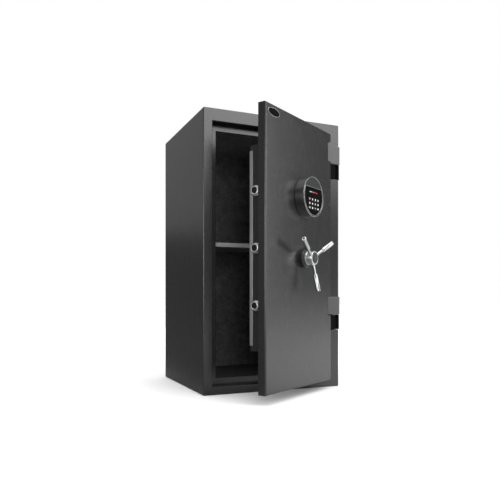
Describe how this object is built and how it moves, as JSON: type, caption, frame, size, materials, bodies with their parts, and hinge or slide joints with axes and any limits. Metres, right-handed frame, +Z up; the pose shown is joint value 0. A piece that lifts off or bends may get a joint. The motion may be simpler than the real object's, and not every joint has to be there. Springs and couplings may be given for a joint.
{
  "type": "gun safe",
  "caption": "Upright steel safe with a filled wall, inset swing door on outside hinges, spoked handle, scroll-cam boltwork and round keypad.",
  "frame": {"origin": "on the floor at the middle of the cabinet's footprint, between the anchor holes", "axes": "+Z up, the door side faces -Y, hinges on the +X side"},
  "size_m": [0.455, 0.6254, 0.82],
  "materials": {
    "charcoal_powder_coat": "satin fine-texture powder coat",
    "dark_painted_steel": "matt black paint",
    "cast_filling": "cast mineral filling",
    "black_seal": "matt",
    "hinge_steel": "turned",
    "grey_carpet": "needle-felt carpet",
    "shelf_paint": "satin paint",
    "zinc_plate": "bright zinc plate",
    "hard_steel": "ground",
    "satin_steel_cover": "brushed",
    "bright_chrome": "polished",
    "zinc_casting": "die cast, tumbled",
    "brass_bolt": "machined",
    "black_moulding": "fine grain",
    "satin_keypad_metal": "satin plate",
    "black_lens": "gloss",
    "circuit_board": "solder mask",
    "status_window": "clear over white and red",
    "battery_sleeve": "printed sleeve",
    "badge_plate": "enamel",
    "key_rubber": "satin, moulded"
  },
  "bodies": {
    "cabinet": {"outer_shell": "charcoal_powder_coat", "back_plate": "charcoal_powder_coat", "barrier_fill": "cast_filling", "inner_liner": "dark_painted_steel", "door_frame": "charcoal_powder_coat", "fire_seal": "black_seal", "hinge_block_upper": "charcoal_powder_coat", "hinge_block_lower": "charcoal_powder_coat", "hinge_pins": "hinge_steel", "lining_back": "grey_carpet", "lining_ceiling": "grey_carpet", "lining_floor": "grey_carpet", "lining_sides": "grey_carpet", "shelf_clips": "zinc_plate"},
    "shelf_tray": {"shelf": "shelf_paint", "shelf_mat": "grey_carpet"},
    "door": {"door_panel": "charcoal_powder_coat", "door_back_plate": "dark_painted_steel", "door_fill": "cast_filling", "hard_plate": "hard_steel", "boltwork_housing": "dark_painted_steel", "boltwork_cover": "satin_steel_cover", "dead_bar": "hard_steel", "bolt_collars": "bright_chrome", "hinge_knuckle_upper": "charcoal_powder_coat", "hinge_knuckle_lower": "charcoal_powder_coat", "lock_case": "zinc_casting", "keypad_base": "black_moulding", "keypad_housing": "satin_keypad_metal", "keypad_lens": "black_lens", "keypad_board": "circuit_board", "status_lights": "status_window", "battery": "battery_sleeve", "handle_rose": "black_moulding", "door_badge": "badge_plate"},
    "handle": {"handle_hub": "bright_chrome", "handle_arm_down": "bright_chrome", "handle_arm_right": "bright_chrome", "handle_arm_left": "bright_chrome", "spindle": "hard_steel", "cam_disc": "zinc_plate"},
    "boltwork": {"bolt_carrier": "zinc_plate", "locking_bolts": "bright_chrome", "cam_follower": "hard_steel"},
    "latch": {"lock_bolt": "brass_bolt"},
    "key_01_cap": {"key_01": "key_rubber"},
    "key_02_cap": {"key_02": "key_rubber"},
    "key_03_cap": {"key_03": "key_rubber"},
    "key_04_cap": {"key_04": "key_rubber"},
    "key_05_cap": {"key_05": "key_rubber"},
    "key_06_cap": {"key_06": "key_rubber"},
    "key_07_cap": {"key_07": "key_rubber"},
    "key_08_cap": {"key_08": "key_rubber"},
    "key_09_cap": {"key_09": "key_rubber"},
    "key_10_cap": {"key_10": "key_rubber"},
    "key_11_cap": {"key_11": "key_rubber"},
    "key_12_cap": {"key_12": "key_rubber"}
  },
  "joints": [
    {"name": "door_swing", "type": "hinge", "parent": "cabinet", "child": "door", "pos_m": [0.224, -0.196, 0], "axis": [0, 0, 1], "range_deg": [-31, 149]},
    {"name": "handle_turn", "type": "hinge", "parent": "door", "child": "handle", "pos_m": [0.03269, -0.3232, 0.389], "axis": [0.515, -0.8572, 0], "range_deg": [0, 80]},
    {"name": "bolt_throw", "type": "slide", "parent": "door", "child": "boltwork", "axis": [-0.8572, -0.515, 0], "range_m": [0, 0.016]},
    {"name": "latch_throw", "type": "slide", "parent": "door", "child": "latch", "axis": [-0.8572, -0.515, 0], "range_m": [0, 0.012]},
    {"name": "shelf_lift", "type": "slide", "parent": "cabinet", "child": "shelf_tray", "axis": [0, 0, 1], "range_m": [0, 0.025]},
    {"name": "key_01_press", "type": "slide", "parent": "door", "child": "key_01_cap", "axis": [-0.515, 0.8572, 0], "range_m": [0, 0.001], "stiffness_N_per_m": 250, "springref_m": -0.0005},
    {"name": "key_02_press", "type": "slide", "parent": "door", "child": "key_02_cap", "axis": [-0.515, 0.8572, 0], "range_m": [0, 0.001], "stiffness_N_per_m": 250, "springref_m": -0.0005},
    {"name": "key_03_press", "type": "slide", "parent": "door", "child": "key_03_cap", "axis": [-0.515, 0.8572, 0], "range_m": [0, 0.001], "stiffness_N_per_m": 250, "springref_m": -0.0005},
    {"name": "key_04_press", "type": "slide", "parent": "door", "child": "key_04_cap", "axis": [-0.515, 0.8572, 0], "range_m": [0, 0.001], "stiffness_N_per_m": 250, "springref_m": -0.0005},
    {"name": "key_05_press", "type": "slide", "parent": "door", "child": "key_05_cap", "axis": [-0.515, 0.8572, 0], "range_m": [0, 0.001], "stiffness_N_per_m": 250, "springref_m": -0.0005},
    {"name": "key_06_press", "type": "slide", "parent": "door", "child": "key_06_cap", "axis": [-0.515, 0.8572, 0], "range_m": [0, 0.001], "stiffness_N_per_m": 250, "springref_m": -0.0005},
    {"name": "key_07_press", "type": "slide", "parent": "door", "child": "key_07_cap", "axis": [-0.515, 0.8572, 0], "range_m": [0, 0.001], "stiffness_N_per_m": 250, "springref_m": -0.0005},
    {"name": "key_08_press", "type": "slide", "parent": "door", "child": "key_08_cap", "axis": [-0.515, 0.8572, 0], "range_m": [0, 0.001], "stiffness_N_per_m": 250, "springref_m": -0.0005},
    {"name": "key_09_press", "type": "slide", "parent": "door", "child": "key_09_cap", "axis": [-0.515, 0.8572, 0], "range_m": [0, 0.001], "stiffness_N_per_m": 250, "springref_m": -0.0005},
    {"name": "key_10_press", "type": "slide", "parent": "door", "child": "key_10_cap", "axis": [-0.515, 0.8572, 0], "range_m": [0, 0.001], "stiffness_N_per_m": 250, "springref_m": -0.0005},
    {"name": "key_11_press", "type": "slide", "parent": "door", "child": "key_11_cap", "axis": [-0.515, 0.8572, 0], "range_m": [0, 0.001], "stiffness_N_per_m": 250, "springref_m": -0.0005},
    {"name": "key_12_press", "type": "slide", "parent": "door", "child": "key_12_cap", "axis": [-0.515, 0.8572, 0], "range_m": [0, 0.001], "stiffness_N_per_m": 250, "springref_m": -0.0005}
  ],
  "couplings": [
    {"joint": "bolt_throw", "follows": "handle_turn", "m_per_rad": 0.011459},
    {"joint": "latch_throw", "follows": "handle_turn", "m_per_rad": 0.0085944}
  ]
}
